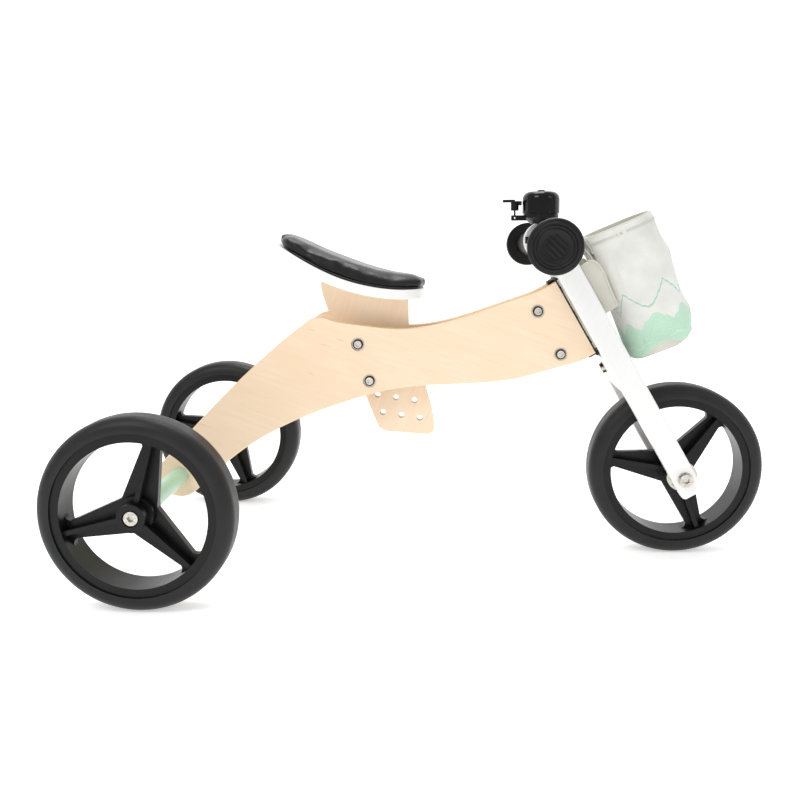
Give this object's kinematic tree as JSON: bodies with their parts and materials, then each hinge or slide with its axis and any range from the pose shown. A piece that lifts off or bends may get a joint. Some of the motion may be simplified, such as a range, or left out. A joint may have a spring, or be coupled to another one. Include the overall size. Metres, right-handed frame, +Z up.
{
  "type": "children's tricycle",
  "caption": "Low children's tricycle with a bent plywood frame, leaned white fork, straight handlebar with grips, padded curved saddle, spoked wheels, a bell and a fabric front bag.",
  "frame": {"origin": "on the floor, midway between the rear axle and the front axle, in the middle plane", "axes": "+X forward, +Y to the rider's left, +Z up"},
  "size_m": [0.7782, 0.449, 0.4241],
  "materials": {
    "birch": "clear satin lacquer",
    "post_ply": "clear satin lacquer",
    "white_wood": "white satin paint",
    "white_metal": "white gloss powder coat",
    "black_metal": "black satin powder coat",
    "steel": "bright zinc",
    "tread": "matte foam rubber",
    "rim": "satin",
    "nylon": "matte",
    "mint": "satin",
    "grip": "matte",
    "bell_shell": "black gloss",
    "bell_plastic": "satin",
    "canvas": "woven, printed with a mint zigzag",
    "webbing": "woven",
    "leatherette": "soft sheen"
  },
  "bodies": {
    "frame": {"side_plate_right": "birch", "side_plate_left": "birch", "head_block": "birch", "post_spacers": "nylon", "frame_bolts": "steel", "frame_nuts": "steel", "frame_washers": "steel", "rear_axle": "steel", "axle_tube_right": "mint", "axle_tube_left": "mint", "axle_tube_middle": "mint", "rear_axle_bolts": "steel", "rear_axle_washers": "steel", "steering_bracket": "black_metal", "bracket_screws": "steel", "seat_post": "post_ply", "seat_board": "white_wood", "seat_bolts": "steel", "seat_pad": "leatherette"},
    "fork": {"bag_body": "canvas", "bag_straps": "webbing", "bell_base": "bell_plastic", "bell_cap_screw": "bell_shell", "bell_clamp": "bell_plastic", "bell_clamp_screw": "steel", "bell_dome": "bell_shell", "bell_pivot_pin": "steel", "crown_lower": "white_wood", "crown_upper": "white_wood", "fork_leg_left": "white_wood", "fork_leg_right": "white_wood", "front_axle": "steel", "front_axle_nut": "steel", "front_axle_washers": "steel", "front_spacers": "nylon", "grip_left": "grip", "grip_right": "grip", "handlebar": "white_metal", "leg_washers": "steel", "pin_lock_screw": "steel", "steering_nut": "steel", "steering_pin": "steel", "steering_washers": "nylon"},
    "wheel_rear_right": {"tyre_rear_right": "tread", "rim_rear_right": "rim", "bushes_rear_right": "nylon"},
    "wheel_rear_left": {"tyre_rear_left": "tread", "rim_rear_left": "rim", "bushes_rear_left": "nylon"},
    "wheel_front": {"tyre_front": "tread", "rim_front": "rim", "bushes_front": "nylon"},
    "bell_lever": {"bell_lever": "bell_plastic"}
  },
  "joints": [
    {"name": "steering", "type": "hinge", "parent": "frame", "child": "fork", "pos_m": [0.2886, 0, 0.1005], "axis": [-0.5, 0, 0.866], "range_deg": [-40, 40]},
    {"name": "rear_right_wheel", "type": "hinge", "parent": "frame", "child": "wheel_rear_right", "pos_m": [-0.2886, -0.1985, 0.1005], "axis": [0, 1, 0], "continuous": true},
    {"name": "rear_left_wheel", "type": "hinge", "parent": "frame", "child": "wheel_rear_left", "pos_m": [-0.2886, 0.1985, 0.1005], "axis": [0, 1, 0], "continuous": true},
    {"name": "front_wheel", "type": "hinge", "parent": "fork", "child": "wheel_front", "pos_m": [0.2886, 0, 0.1005], "axis": [0, 1, 0], "continuous": true},
    {"name": "bell_lever", "type": "hinge", "parent": "fork", "child": "bell_lever", "pos_m": [0.101, 0.032, 0.3923], "axis": [0, 1, 0], "range_deg": [-25, 0], "stiffness_Nm_per_rad": 0.05, "springref_deg": 11.46}
  ]
}
